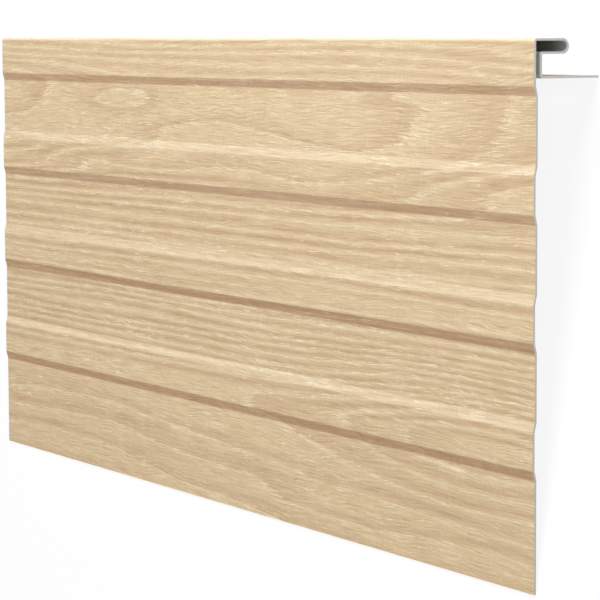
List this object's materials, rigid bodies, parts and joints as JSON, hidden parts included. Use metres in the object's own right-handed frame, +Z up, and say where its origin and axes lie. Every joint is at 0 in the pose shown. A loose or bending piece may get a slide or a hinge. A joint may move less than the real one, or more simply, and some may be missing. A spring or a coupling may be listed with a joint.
{
  "type": "siding profile",
  "caption": "Wood-look window surround profile for siding: wide ribbed plate, folded nose, pocket for panel ends and slotted nailing flange.",
  "frame": {"origin": "centre of the bounding box's bottom: the floor under the middle of the profile's length and width", "axes": "+X along the profile's length; +Y across the plate from its free edge to the nose; +Z up, away from the floor, with the plate leaning 8.5 degrees from level"},
  "size_m": [0.5, 0.2396, 0.0374],
  "materials": {
    "wood_print": "matt light oak print on the visible side, pale grey on the back and at the cut ends"
  },
  "bodies": {
    "root": {"siding_profile": "wood_print"}
  },
  "joints": []
}
